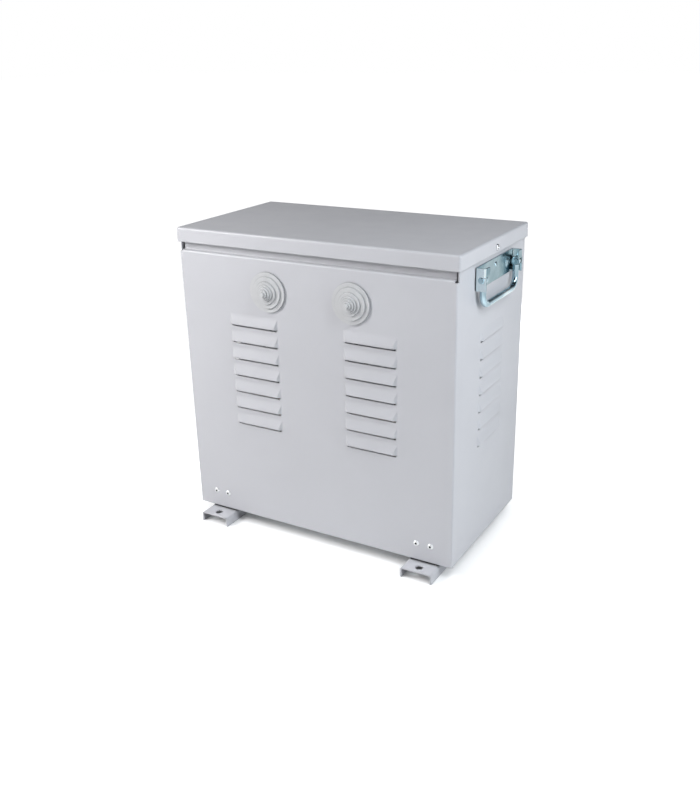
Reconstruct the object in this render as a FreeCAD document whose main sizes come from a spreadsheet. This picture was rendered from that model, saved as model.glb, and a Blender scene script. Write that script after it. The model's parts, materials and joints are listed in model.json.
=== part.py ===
"""Three-phase autotransformer in a ventilated steel enclosure, 400 mm wide.

Frame: X to the right along the front, Y from front to back, Z up, in millimetres.
The origin is on the floor, under the middle of the object.
"""
import FreeCAD
import Part
import Sketcher
import math
import os
import re

# Driving dimensions in millimetres, each written once.
SIZES = {
    # enclosure
    "body_width": 400,
    "body_depth": 218,
    "total_height": 420,
    "body_bottom": 18,
    "body_sheet": 1.5,
    "body_bend": 2.5,
    "shoulder_drop": 29.5,
    "neck_setback": 7,
    "neck_end_gap": 4,
    "side_setback": 4,
    "flange_width": 14,
    "flange_relief": 4,
    "flange_screw_inset": 8.5,
    "flange_screw_margin": 45,
    # lid
    "lid_sheet": 2,
    "lid_skirt": 19,
    "lid_gap": 1,
    "lid_proud": 0.5,
    "lid_bend": 3,
    "lid_screw_drop": 12,
    # pressed louvres
    "louvre_length": 77,
    "louvre_height": 17,
    "louvre_depth": 3,
    "louvre_end": 7,
    "louvre_slot": 2.5,
    "louvre_sink": 0.1,
    "louvre_pitch": 23.3,
    "louvre_count": 7,
    "louvre_drop": 49.2,
    "louvre_column": 86,
    # cable grommets
    "grommet_offset": 61,
    "grommet_drop": 72,
    "grommet_radius": 26,
    "grommet_hole": 20.5,
    "grommet_clear": 0.3,
    "grommet_wall": 1.5,
    "grommet_flange": 2.5,
    "grommet_step": 2.1,
    "grommet_draft": 0.5,
    "grommet_lip": 2.4,
    "grommet_grip": 2,
    "grommet_ring_1": 20.3,
    "grommet_ring_2": 14.3,
    "grommet_ring_3": 10.4,
    "grommet_ring_4": 7.8,
    "grommet_ring_5": 5.2,
    "grommet_ring_6": 2.8,
    # feet and base
    "foot_inset": 40,
    "foot_overhang": 22,
    "foot_width": 44,
    "foot_height": 14,
    "foot_sheet": 2,
    "foot_bend": 3,
    "foot_hole": 5,
    "foot_hole_inset": 11,
    "base_sheet": 2,
    "base_gap": 4,
    "slot_length": 70,
    "slot_width": 12,
    # brackets that carry the panels
    "bracket_sheet": 2,
    "bracket_height": 40,
    "bracket_gap": 5.5,
    "bracket_bend": 3,
    # blind rivets
    "rivet_level": 41,
    "rivet_spacing": 20,
    "rivet_radius": 2.4,
    "rivet_head": 4.2,
    "rivet_dome": 1.6,
    "rivet_bore": 1.2,
    "rivet_bore_depth": 2.6,
    "rivet_tail": 3.2,
    "rivet_bulge": 1.2,
    # drop handles
    "handle_length": 120,
    "handle_height": 27.5,
    "handle_drop": 25,
    "handle_depth": 14,
    "handle_sheet": 2,
    "handle_bend": 3,
    "handle_axis_drop": 14.5,
    "handle_axis_depth": 8,
    "handle_rivet_offset": 38,
    "handle_rivet_drop": 14,
    "handle_rivet_head": 5.8,
    "centre_rivet_drop": 8,
    "centre_rivet_head": 3.6,
    "bail_rod": 4,
    "bail_drop": 32.5,
    "bail_corner": 15,
    "bail_gap": 0.5,
    "eye_radius": 5.4,
    "eye_thickness": 5,
    "pin_radius": 2.5,
    "pin_clear": 0.05,
    "pin_head": 4,
    "pin_head_height": 1.4,
    "stop_length": 10,
    "stop_clear": 0.3,
    # core
    "limb": 50,
    "window": 50,
    "window_height": 160,
    "core_room": 74,
    "core_lift": 4,
    "core_hole_inset": 13,
    # coils
    "coil_clear": 0.3,
    "former_wall": 2,
    "former_margin": 2,
    "coil_gap": 4,
    "coil_build": 19,
    "coil_corner": 18,
    # core clamps
    "clamp_leg": 40,
    "clamp_sheet": 4,
    "clamp_lower_end": 15,
    "clamp_upper_end": 20,
    "clamp_bolt_offset": 22,
    # terminal rail
    "support_offset": 80,
    "support_width": 30,
    "support_height": 38,
    "support_sheet": 3,
    "rail_offset": 17,
    "rail_end": 15,
    "rail_width": 35,
    "rail_base": 25,
    "rail_height": 7.5,
    "rail_sheet": 1,
    "terminal_pitch": 12,
    "terminal_gap": 0.2,
    "terminal_depth": 42,
    "terminal_height": 38,
    "terminal_shoulder": 12,
    "terminal_step": 9,
    "terminal_slope": 3,
    "terminal_hook": 3,
    "terminal_grip": 1.5,
    "end_stop_width": 8,
    "end_stop_height": 30,
    # leads
    "lead_radius": 2,
    "lead_exit": 15,
    "lead_level": 205,
    "lead_wall_gap": 7.5,
    "lead_spacing": 7,
    "rear_lead_gap": 19.5,
    "entry_height": 10,
    "star_bar_end": 10,
    "star_bar_height": 16,
    "star_bar_sheet": 3,
    # earth connection
    "earth_offset": 10,
    "earth_stud_height": 18,
    "lug_sheet": 1.5,
    "lug_ring": 6,
    "lug_reach": 14,
    "lug_barrel": 3.5,
    "lug_barrel_height": 10,
    # fasteners
    "large_bolt": 4,
    "large_flats": 13,
    "large_head": 5.3,
    "large_nut": 6.5,
    "large_washer": 8,
    "washer_sheet": 1.6,
    "small_bolt": 3,
    "small_flats": 10,
    "small_head": 4,
    "small_nut": 5,
    "screw_radius": 2,
    "screw_head": 4,
    "screw_crown": 2.8,
    "screw_head_height": 2.2,
    "screw_length": 8,
    "thread_end": 3,
    "hole_clear": 0.4,
    "rivet_clear": 0.1,
    "beyond": 1,
    "neck_overlap": 5,
}

# Formulas over the sizes, each with a name of its own.
FORMULAS = {
    "side_x": "body_width / 2",
    "side_inner": "side_x - body_sheet",
    "half_depth": "body_depth / 2",
    "panel_inner": "half_depth - body_sheet",
    "panel_top": "total_height - shoulder_drop",
    "relief_level": "panel_top - body_bend",
    "neck_x": "side_x - neck_end_gap",
    "neck_face": "half_depth - neck_setback",
    "side_end": "half_depth - side_setback",
    "inner_bend": "body_bend - body_sheet",
    "lid_under": "total_height - lid_sheet",
    "lid_bottom": "total_height - lid_skirt",
    "lid_x": "side_x + lid_gap + lid_sheet",
    "lid_y": "half_depth + lid_proud",
    "lid_screw_level": "total_height - lid_screw_drop",
    "grommet_level": "total_height - grommet_drop",
    "louvre_lowest": "grommet_level - louvre_drop - louvre_pitch * (louvre_count - 1)",
    "louvre_rise": "louvre_depth + louvre_sink",
    "louvre_bend": "(louvre_height ^ 2 + louvre_rise ^ 2) / (4 * louvre_rise)",
    "louvre_end_bend": "(louvre_end ^ 2 + louvre_rise ^ 2) / (4 * louvre_rise)",
    "foot_x": "side_x - foot_inset",
    "foot_y": "half_depth + foot_overhang",
    "foot_hole_y": "foot_y - foot_hole_inset",
    "base_top": "foot_height + base_sheet",
    "clamp_top": "base_top + clamp_sheet",
    "core_bottom": "base_top + core_lift",
    "lower_yoke_top": "core_bottom + limb",
    "upper_yoke_bottom": "lower_yoke_top + window_height",
    "core_top": "upper_yoke_bottom + limb",
    "core_x": "(3 * limb + 2 * window) / 2",
    "core_depth": "body_depth - 2 * core_room",
    "core_y": "core_depth / 2",
    "limb_pitch": "limb + window",
    "lower_bolt_level": "core_bottom + limb / 2",
    "upper_bolt_level": "upper_yoke_bottom + limb / 2",
    "core_bolt_x": "core_x - core_hole_inset",
    "clamp_y": "core_y + clamp_sheet",
    "clamp_edge": "core_y + clamp_leg",
    "foot_bolt_y": "core_y + clamp_bolt_offset",
    "bracket_toe": "clamp_edge + bracket_gap",
    "bracket_bolt_y": "(bracket_toe + panel_inner - bracket_sheet) / 2",
    "tube_x": "limb / 2 + coil_clear + former_wall",
    "tube_y": "core_y + coil_clear + former_wall",
    "coil_x": "limb_pitch / 2 - coil_gap / 2 - former_margin",
    "coil_y": "tube_y + coil_build",
    "former_top": "upper_yoke_bottom - coil_clear",
    "support_top": "core_top + support_height",
    "rail_centre": "core_y + rail_offset",
    "rail_top": "support_top + rail_height",
    "entry_level": "rail_top + entry_height",
    "terminal_front": "rail_centre + terminal_depth / 2",
    "terminal_rear": "rail_centre - terminal_depth / 2",
    "earth_y": "clamp_edge + earth_offset",
    "earth_bend_level": "(lower_yoke_top + lead_level) / 2",
    "outer_lead_plane": "panel_inner - lead_wall_gap",
    "inner_lead_plane": "outer_lead_plane - lead_spacing",
    "rear_lead_plane": "panel_inner - rear_lead_gap",
    "handle_top": "total_height - handle_drop",
    "handle_bottom": "handle_top - handle_height",
    "handle_axis_level": "handle_top - handle_axis_drop",
    "handle_rivet_level": "handle_top - handle_rivet_drop",
    "centre_rivet_level": "handle_top - centre_rivet_drop",
    "handle_end": "handle_length / 2",
    "handle_face": "side_x + handle_sheet",
    "handle_edge": "side_x + handle_depth",
    "pivot_x": "side_x + handle_axis_depth",
    "ear_inner": "handle_end - handle_sheet",
    "arm_y": "ear_inner - bail_gap - bail_rod",
    "arm_top": "handle_axis_level - pin_head - stop_clear",
    "stop_bottom": "handle_axis_level + bail_rod + stop_clear",
    "pin_inner": "arm_y - eye_thickness / 2 - pin_clear",
    "large_hole": "large_bolt + hole_clear",
    "small_hole": "small_bolt + hole_clear",
    "rivet_hole": "rivet_radius + rivet_clear",
    "screw_hole": "screw_radius + rivet_clear",
}

# Smallest difference that counts, how near an edge lies to its stated place, and its least share on an axis.
TINY = 1e-6
NEAR = 0.02
ALONG = 0.9999
# Share of a lead's middle and end runs that a bend may take, and the error allowed in its volume.
MIDDLE_SHARE = 0.45
END_SHARE = 0.85
VOLUME_ERROR = 0.01

doc = FreeCAD.newDocument("autotransformer")
sheet = doc.addObject("Spreadsheet::Sheet", "Sizes")
for row, (name, value) in enumerate(SIZES.items(), start=1):
    sheet.set(f"A{row}", name)
    sheet.set(f"B{row}", str(value))
    sheet.setAlias(f"B{row}", name)
doc.recompute()

nodes = []


def expand(formula):
    """Write a formula out in terms of the sheet's cells."""
    def word(match):
        name = match.group(0)
        if name in SIZES:
            return "Sizes." + name
        if name in FORMULAS:
            return "(" + expand(FORMULAS[name]) + ")"
        return name
    return re.sub(r"[a-z_]+[a-z_0-9]*", word, str(formula))


def number(formula):
    """Value of a formula now."""
    return float(sheet.evalExpression(expand(formula)))


def node(item, label):
    """Name a finished sub-part, which is also its file name."""
    item.Label = label
    nodes.append(item)
    return item


# Sketches and the features made from them

def new_body(name):
    return doc.addObject("PartDesign::Body", name)


def origin_feature(body, role):
    return next(item for item in body.Origin.OriginFeatures if item.Role == role)


def arc_between(start, end, radius, turn):
    """Arc of less than half a turn from start to end; turn is 1 to the left and -1 to the right."""
    chord = end - start
    middle = (start + end) * 0.5
    rise = math.sqrt(max(radius ** 2 - chord.Length ** 2 / 4, 0.0))
    side = FreeCAD.Vector(-chord.y, chord.x, 0) / chord.Length
    centre = middle + side * rise * turn
    first, last = (start, end) if turn > 0 else (end, start)
    angles = [math.atan2(point.y - centre.y, point.x - centre.x) for point in (first, last)]
    circle = Part.Circle(centre, FreeCAD.Vector(0, 0, 1), radius)
    return Part.ArcOfCircle(circle, angles[0], angles[1])


def sketch(body, plane, offset, loops=(), circles=(), shift=("0", "0"), open_loop=False):
    """Sketch on an origin plane of the body, every point bound to the sheet.

    A loop is a list of points (x, y), or (x, y, radius, turn) where an arc runs to the next point.
    A circle is (x, y, radius).
    """
    drawing = body.newObject("Sketcher::SketchObject", body.Name + "_sketch")
    drawing.AttachmentSupport = [(origin_feature(body, plane + "_Plane"), "")]
    drawing.MapMode = "FlatFace"
    for axis, formula in zip("xyz", (*shift, offset)):
        drawing.setExpression(f"AttachmentOffset.Base.{axis}", expand(formula))

    def bind(kind, edge, place, formula):
        index = drawing.addConstraint(Sketcher.Constraint(kind, -1, 1, edge, place, number(formula)))
        drawing.setExpression(f"Constraints[{index}]", expand(formula))

    for loop in loops:
        corners = [FreeCAD.Vector(number(point[0]), number(point[1]), 0) for point in loop]
        count = len(loop) - 1 if open_loop else len(loop)
        ends = []
        for index in range(count):
            start, end = corners[index], corners[(index + 1) % len(loop)]
            if len(loop[index]) == 2:
                edge = drawing.addGeometry(Part.LineSegment(start, end), False)
                ends.append((edge, 1, 2))
            else:
                radius, turn = loop[index][2:]
                edge = drawing.addGeometry(arc_between(start, end, number(radius), turn), False)
                ends.append((edge, 1, 2) if turn > 0 else (edge, 2, 1))
        for index in range(count if not open_loop else count - 1):
            edge, _, last = ends[index]
            after, first, _ = ends[(index + 1) % count]
            drawing.addConstraint(Sketcher.Constraint("Coincident", edge, last, after, first))
        for index, point in enumerate(loop):
            edge, place = (ends[index][0], ends[index][1]) if index < count else (ends[-1][0], ends[-1][2])
            bind("DistanceX", edge, place, point[0])
            bind("DistanceY", edge, place, point[1])
        for index in range(count):
            if len(loop[index]) > 2:
                edge = ends[index][0]
                radius = loop[index][2]
                fixed = drawing.addConstraint(Sketcher.Constraint("Radius", edge, number(radius)))
                drawing.setExpression(f"Constraints[{fixed}]", expand(radius))
    for x, y, radius in circles:
        centre = FreeCAD.Vector(number(x), number(y), 0)
        edge = drawing.addGeometry(Part.Circle(centre, FreeCAD.Vector(0, 0, 1), number(radius)), False)
        bind("DistanceX", edge, 3, x)
        bind("DistanceY", edge, 3, y)
        fixed = drawing.addConstraint(Sketcher.Constraint("Radius", edge, number(radius)))
        drawing.setExpression(f"Constraints[{fixed}]", expand(radius))
    return drawing


def rectangle(left, right, low, high):
    return [(left, low), (right, low), (right, high), (left, high)]


def along_normal(plane, position):
    """Offset along the plane's normal, which points to -Y on the XZ plane."""
    return f"-({position})" if plane == "XZ" else position


def add(body, plane, start, stop, loops=(), circles=()):
    """Pad between two positions on the axis across the plane."""
    base = stop if plane == "XZ" else start
    profile = sketch(body, plane, along_normal(plane, base), loops, circles)
    pad = body.newObject("PartDesign::Pad", body.Name + "_pad")
    pad.Profile = profile
    pad.setExpression("Length", expand(f"({stop}) - ({start})"))
    doc.recompute()
    return pad


def remove(body, plane, start, stop, loops=(), circles=()):
    """Pocket between two positions on the axis across the plane."""
    before = body.Shape.Volume
    base = start if plane == "XZ" else stop
    profile = sketch(body, plane, along_normal(plane, base), loops, circles)
    pocket = body.newObject("PartDesign::Pocket", body.Name + "_pocket")
    pocket.Profile = profile
    pocket.setExpression("Length", expand(f"({stop}) - ({start})"))
    doc.recompute()
    if body.Shape.Volume >= before - TINY:
        raise RuntimeError(f"{body.Name}: a pocket removes nothing")
    return pocket


def round_edges(body, radius, axis, places):
    """Fillet the straight edges along an axis that pass through the given places."""
    doc.recompute()
    base = body.Tip
    across = [index for index in range(3) if "xyz"[index] != axis]
    wanted = [tuple(number(value) for value in place) for place in places]
    names = []
    for index, edge in enumerate(base.Shape.Edges, start=1):
        direction = edge.Vertexes[-1].Point - edge.Vertexes[0].Point
        if direction.Length < TINY or abs(direction["xyz".index(axis)]) < direction.Length * ALONG:
            continue
        middle = edge.Vertexes[0].Point
        if any(math.dist([middle[i] for i in across], place) < NEAR for place in wanted):
            names.append(f"Edge{index}")
    fillet = body.newObject("PartDesign::Fillet", body.Name + "_bend")
    fillet.Base = (base, names)
    fillet.setExpression("Radius", expand(radius))
    doc.recompute()
    return fillet


def round_all(body, radius, chosen):
    """Fillet every edge that passes the test."""
    base = body.Tip
    edges = enumerate(base.Shape.Edges, start=1)
    fillet = body.newObject("PartDesign::Fillet", body.Name + "_rounding")
    fillet.Base = (base, [f"Edge{index}" for index, edge in edges if chosen(edge)])
    fillet.setExpression("Radius", expand(radius))
    doc.recompute()
    return fillet


def turned(body, place, profile, axis="y"):
    """Revolve a profile of (radius, distance along the axis) about the X or Y axis through a place."""
    x, y, z = place
    if axis == "x":
        profile = [(point[1], point[0], *((point[2], -point[3]) if len(point) > 2 else ()))
                   for point in profile]
    drawing = sketch(body, "XY", z, [profile], shift=(x, y))
    revolution = body.newObject("PartDesign::Revolution", body.Name + "_turn")
    revolution.Profile = drawing
    revolution.ReferenceAxis = (drawing, ["H_Axis" if axis == "x" else "V_Axis"])
    revolution.Angle = 360
    doc.recompute()
    return revolution


# Primitives

TURN = {
    "x": FreeCAD.Rotation(FreeCAD.Vector(0, 1, 0), 90),
    "y": FreeCAD.Rotation(FreeCAD.Vector(1, 0, 0), -90),
    "z": FreeCAD.Rotation(),
}


def primitive(kind, axis, centre, start, stop):
    """Part primitive whose own axis runs from start to stop along x, y or z."""
    item = doc.addObject(kind, kind.split("::")[1])
    item.Placement = FreeCAD.Placement(FreeCAD.Vector(), TURN[axis])
    place = list(centre)
    place.insert("xyz".index(axis), start)
    for name, formula in zip("xyz", place):
        item.setExpression(f"Placement.Base.{name}", expand(formula))
    item.setExpression("Height", expand(f"({stop}) - ({start})"))
    return item


def rod(axis, centre, start, stop, radius):
    item = primitive("Part::Cylinder", axis, centre, start, stop)
    item.setExpression("Radius", expand(radius))
    return item


def hexagon(axis, centre, start, stop, flats):
    item = primitive("Part::Prism", axis, centre, start, stop)
    item.Polygon = 6
    item.setExpression("Circumradius", expand(f"{flats} / sqrt(3)"))
    return item


def cone(axis, centre, start, stop, first, last):
    item = primitive("Part::Cone", axis, centre, start, stop)
    item.setExpression("Radius1", expand(first))
    item.setExpression("Radius2", expand(last))
    return item


def fuse(*items):
    joined = doc.addObject("Part::MultiFuse", "fuse")
    joined.Shapes = list(items)
    joined.Refine = True
    return joined


def cut(base, tool):
    result = doc.addObject("Part::Cut", "cut")
    result.Base = base
    result.Tool = tool
    return result


def group(items):
    """Separate identical solids that share one node."""
    gathered = doc.addObject("Part::Compound", "group")
    gathered.Links = list(items)
    return gathered


def bolt(axis, centre, seat, tip, flats, head, radius):
    """Hexagon bolt: the head lies against the seat and the shank ends at the tip."""
    if number(tip) > number(seat):
        return fuse(hexagon(axis, centre, f"({seat}) - {head}", seat, flats),
                    rod(axis, centre, f"({seat}) - {head} / 2", tip, radius))
    return fuse(hexagon(axis, centre, seat, f"({seat}) + {head}", flats),
                rod(axis, centre, tip, f"({seat}) + {head} / 2", radius))


def ring(axis, centre, start, stop, outer, bore):
    return cut(rod(axis, centre, start, stop, outer), rod(axis, centre, start, stop, bore))


def nut(axis, centre, start, stop, flats, bore):
    return cut(hexagon(axis, centre, start, stop, flats), rod(axis, centre, start, stop, bore))


# Enclosure sheets

def louvre_levels():
    """Lower edge of every louvre in a column."""
    return [f"(louvre_lowest + {row} * louvre_pitch)" for row in range(round(number("louvre_count")))]


def louvre_profile(face, outward, level):
    """Section of a louvre: straight out at its lower edge, and back into the face in a soft S."""
    out, back = f"{face} + {outward} * louvre_depth", f"{face} - {outward} * louvre_sink"
    middle = f"{face} + {outward} * (louvre_depth - louvre_sink) / 2"
    return [
        (back, level), (out, level, "louvre_bend", outward),
        (middle, f"{level} + louvre_height / 2", "louvre_bend", -outward), (back, f"{level} + louvre_height"),
    ]


def louvre_ends(plane, face, outward, centre):
    """Regions beyond the soft S at both ends of a column's louvres."""
    regions = []
    for end in (-1, 1):
        turn = -end * outward if plane == "XZ" else end * outward

        def place(inward, out):
            along = f"{centre} + {end} * (louvre_length / 2 - {inward})"
            across = f"{face} + {outward} * ({out})"
            return (along, across) if plane == "XZ" else (across, along)

        regions.append([
            place("(-beyond)", "-louvre_sink"), (*place("0", "-louvre_sink"), "louvre_end_bend", turn),
            (*place("louvre_end / 2", "(louvre_depth - louvre_sink) / 2"), "louvre_end_bend", -turn),
            place("louvre_end", "louvre_depth"), place("louvre_end", "louvre_depth + beyond"),
            place("(-beyond)", "louvre_depth + beyond"),
        ])
    return regions


def louvre_forms(name, plane, face, outward, centre):
    """Column of solid swellings that stand on a face."""
    body = new_body(name)
    body.AllowCompound = True
    across = "YZ" if plane == "XZ" else "XZ"
    add(body, across, f"{centre} - louvre_length / 2", f"{centre} + louvre_length / 2",
        [louvre_profile(face, outward, level) for level in louvre_levels()])
    remove(body, "XY", "louvre_lowest - beyond", f"{louvre_levels()[-1]} + louvre_height + beyond",
           louvre_ends(plane, face, outward, centre))
    return body


def with_louvres(body, columns):
    """Press columns of louvres out of a sheet, each louvre over the slot that it was sheared from."""
    half = "(louvre_length - louvre_end) / 2"
    hoods, hollows = [], []
    for index, (plane, face, outward, centre) in enumerate(columns):
        inside = f"{face} - {outward} * body_sheet"
        ends = [f"{inside} - {outward} * beyond", f"{face} + {outward} * beyond"]
        slots = [rectangle(f"{centre} - {half}", f"{centre} + {half}", f"{level} - louvre_slot", level)
                 for level in louvre_levels()]
        remove(body, plane, *ends[::outward], slots)
        hoods.append(louvre_forms(f"{body.Name}_hoods_{index}", plane, face, outward, centre))
        hollows.append(louvre_forms(f"{body.Name}_hollows_{index}", plane, inside, outward, centre))
    return cut(fuse(body, *hoods), fuse(*hollows))


def neck_profile(side, low):
    """Section of a panel's top: folded in to a shelf and up again to a neck under the lid."""
    face, inner = f"{side} * half_depth", f"{side} * panel_inner"
    neck, neck_inner = f"{side} * neck_face", f"{side} * (neck_face - body_sheet)"
    shelf, under = "panel_top", "panel_top - body_sheet"
    first, last = f"{side} * (half_depth - body_bend)", f"{side} * (neck_face + inner_bend)"
    return [
        (face, low), (inner, low), (inner, "relief_level", "inner_bend", side), (first, under),
        (last, under, "body_bend", -side), (neck_inner, "panel_top + inner_bend"), (neck_inner, "lid_under"),
        (neck, "lid_under"), (neck, "panel_top + inner_bend", "inner_bend", side), (last, shelf),
        (first, shelf, "body_bend", -side), (face, "relief_level"),
    ]


def rivet_places():
    """Middle of every panel rivet along the front, two above each foot."""
    return [f"{side} * foot_x + {step} * rivet_spacing / 2" for side in (-1, 1) for step in (-1, 1)]


def handle_rivet_places():
    return [f"{side} * handle_rivet_offset" for side in (-1, 1)]


def flange_screw_places():
    low, high = "body_bottom + flange_screw_margin", "relief_level - flange_screw_margin"
    return [(f"{side} * (side_x - flange_screw_inset)", level)
            for side in (-1, 1) for level in (low, f"({low} + {high}) / 2", high)]


def rear_foot_places():
    return [(x, "rivet_level") for x in rivet_places()]


def make_wrap():
    """Front and both sides folded from one sheet, with return flanges behind."""
    body = new_body("wrap_sheet")
    ends = [(-1, "side_x"), (1, "side_x")]
    flange_inner = "side_x - flange_width"
    rear = "panel_inner"
    section = [
        ("-side_x", "-half_depth"), ("side_x", "-half_depth"), ("side_x", rear), (flange_inner, rear),
        (flange_inner, f"{rear} - body_sheet"), ("side_inner", f"{rear} - body_sheet"),
        ("side_inner", "-panel_inner"), ("-side_inner", "-panel_inner"),
        ("-side_inner", f"{rear} - body_sheet"), (f"-({flange_inner})", f"{rear} - body_sheet"),
        (f"-({flange_inner})", rear), ("-side_x", rear),
    ]
    add(body, "XY", "body_bottom", "relief_level", [section])
    round_edges(body, "body_bend", "z", [(f"{side} * side_x", y) for side, _ in ends
                                         for y in ("-half_depth", rear)])
    round_edges(body, "inner_bend", "z", [(f"{side} * side_inner", y) for side, _ in ends
                                          for y in ("-panel_inner", f"{rear} - body_sheet")])
    remove(body, "XY", "relief_level - flange_relief", "relief_level",
           [rectangle("side_x - flange_width - beyond", "side_x + beyond", "side_end", f"{rear} + beyond"),
            rectangle("-side_x - beyond", "-side_x + flange_width + beyond", "side_end", f"{rear} + beyond")])
    add(body, "YZ", "-neck_x", "neck_x", [neck_profile(-1, "relief_level - neck_overlap")])
    add(body, "XY", "relief_level", "lid_under",
        [rectangle("side_inner", "side_x", "-side_end", "side_end"),
         rectangle("-side_x", "-side_inner", "-side_end", "side_end")])
    remove(body, "XZ", "-half_depth - beyond", "-panel_inner + beyond",
           circles=[(f"{side} * grommet_offset", "grommet_level", "grommet_hole") for side in (-1, 1)]
           + [(x, "rivet_level", "rivet_hole") for x in rivet_places()])
    side_holes = [(y, "handle_rivet_level", "rivet_hole") for y in handle_rivet_places()]
    side_holes += [("0", "centre_rivet_level", "rivet_hole"), ("0", "lid_screw_level", "screw_hole")]
    remove(body, "YZ", "-side_x - beyond", "side_x + beyond", circles=side_holes)
    remove(body, "XZ", f"{rear} - body_sheet - beyond", f"{rear} + beyond",
           circles=[(x, z, "screw_hole") for x, z in flange_screw_places()])
    columns = [("XZ", "-half_depth", -1, f"{side} * louvre_column") for side in (-1, 1)]
    columns += [("YZ", f"{side} * side_x", side, "0") for side in (-1, 1)]
    node(with_louvres(body, columns), "body_wrap")


def make_rear_panel():
    body = new_body("rear_sheet")
    add(body, "YZ", "-neck_x", "neck_x", [neck_profile(1, "body_bottom")])
    remove(body, "XZ", "panel_inner - beyond", "half_depth + beyond",
           circles=[(x, z, "screw_hole") for x, z in flange_screw_places() + rear_foot_places()])
    columns = [("XZ", "half_depth", 1, f"{side} * louvre_column") for side in (-1, 1)]
    node(with_louvres(body, columns), "rear_panel")


def make_lid():
    """Flat cover with its edges folded down, rounded along every fold."""
    body = new_body("lid")
    add(body, "XY", "lid_bottom", "total_height", [rectangle("-lid_x", "lid_x", "-lid_y", "lid_y")])
    round_all(body, "lid_bend", lambda edge: edge.BoundBox.ZMax > number("total_height") - TINY)
    inner_x, inner_y = "(lid_x - lid_sheet)", "(lid_y - lid_sheet)"
    remove(body, "XY", "lid_bottom - beyond", "lid_under",
           [rectangle(f"-{inner_x}", inner_x, f"-{inner_y}", inner_y)])
    remove(body, "YZ", "-lid_x - beyond", "lid_x + beyond", circles=[("0", "lid_screw_level", "screw_hole")])
    node(body, "lid")


def pan_screw(axis, centre, seat, outward):
    """Pan-head screw: the head stands outward from the seat and the shank runs the other way."""
    head = f"({seat}) + {outward} * screw_head_height"
    tip = f"({seat}) - {outward} * screw_length"
    if outward > 0:
        return fuse(cone(axis, centre, seat, head, "screw_head", "screw_crown"),
                    rod(axis, centre, tip, seat, "screw_radius"))
    return fuse(cone(axis, centre, head, seat, "screw_crown", "screw_head"),
                rod(axis, centre, seat, tip, "screw_radius"))


def make_screws():
    """Screws through the lid's skirt, and those that hold the rear panel."""
    node(group([pan_screw("x", ("0", "lid_screw_level"), f"{side} * lid_x", side) for side in (-1, 1)]),
         "lid_screws")
    places = flange_screw_places() + rear_foot_places()
    node(group([pan_screw("y", place, "half_depth", 1) for place in places]), "rear_screws")


def blind_rivet(name, place, axis, outward, head, grip):
    """Blind rivet: a dome with the stem's hole, a shank, and the tail that is pulled up behind."""
    body = new_body(name)
    bulge = "rivet_radius + rivet_bulge"
    dome = f"((({head}) ^ 2 + rivet_dome ^ 2) / (2 * rivet_dome))"
    hole_edge = f"(sqrt({dome} ^ 2 - rivet_bore ^ 2) - {dome} + rivet_dome)"
    hole_floor = "(rivet_dome - rivet_bore_depth)"
    back, tail = f"-{outward} * ({grip})", f"-{outward} * ({grip} + rivet_tail)"
    turned(body, place, [
        ("0", tail), (f"{bulge} - rivet_bulge / 2", tail), (bulge, back), ("rivet_radius", back),
        ("rivet_radius", "0"), (head, "0", dome, outward), ("rivet_bore", f"{outward} * {hole_edge}"),
        ("rivet_bore", f"{outward} * {hole_floor}"), ("0", f"{outward} * {hole_floor}"),
    ], axis)
    return body


def make_front_rivets():
    rivets = [blind_rivet(f"front_rivet_{index}", (x, "-half_depth", "rivet_level"), "y", -1, "rivet_head",
                          "body_sheet + bracket_sheet") for index, x in enumerate(rivet_places())]
    node(group(rivets), "front_rivets")


def make_handle_rivets():
    """Rivets through each handle's plate and the side sheet: two large heads and a small one."""
    grip = "handle_sheet + body_sheet"
    large, small = [], []
    for name, side in HANDLES:
        face = f"{side} * handle_face"
        large += [blind_rivet(f"handle_rivet_{name}_{index}", (face, y, "handle_rivet_level"), "x", side,
                              "handle_rivet_head", grip) for index, y in enumerate(handle_rivet_places())]
        small.append(blind_rivet(f"centre_rivet_{name}", (face, "0", "centre_rivet_level"), "x", side,
                                 "centre_rivet_head", grip))
    node(group(large), "handle_rivets")
    node(group(small), "handle_centre_rivets")


def make_feet():
    """Inverted channels, bolted up through their tops and drilled at both ends for the floor bolts."""
    for label, side in (("foot_left", -1), ("foot_right", 1)):
        body = new_body(label)
        middle = f"{side} * foot_x"
        left, right = f"{middle} - foot_width / 2", f"{middle} + foot_width / 2"
        inside_left, inside_right = f"{left} + foot_sheet", f"{right} - foot_sheet"
        under = "foot_height - foot_sheet"
        section = [(left, "0"), (inside_left, "0"), (inside_left, under), (inside_right, under),
                   (inside_right, "0"), (right, "0"), (right, "foot_height"), (left, "foot_height")]
        add(body, "XZ", "-foot_y", "foot_y", [section])
        round_edges(body, "foot_bend", "y", [(left, "foot_height"), (right, "foot_height")])
        round_edges(body, "foot_bend - foot_sheet", "y", [(inside_left, under), (inside_right, under)])
        holes = [(middle, f"{end} * {y}", radius) for end in (-1, 1)
                 for y, radius in (("foot_hole_y", "foot_hole"), ("foot_bolt_y", "large_hole"),
                                   ("bracket_bolt_y", "small_hole"))]
        remove(body, "XY", f"{under} - beyond", "foot_height + beyond", circles=holes)
        node(body, label)


def corner_places(y):
    """The four places above the feet at a distance from the middle of the depth."""
    return [(f"{side} * foot_x", f"{end} * {y}") for side in (-1, 1) for end in (-1, 1)]


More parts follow.
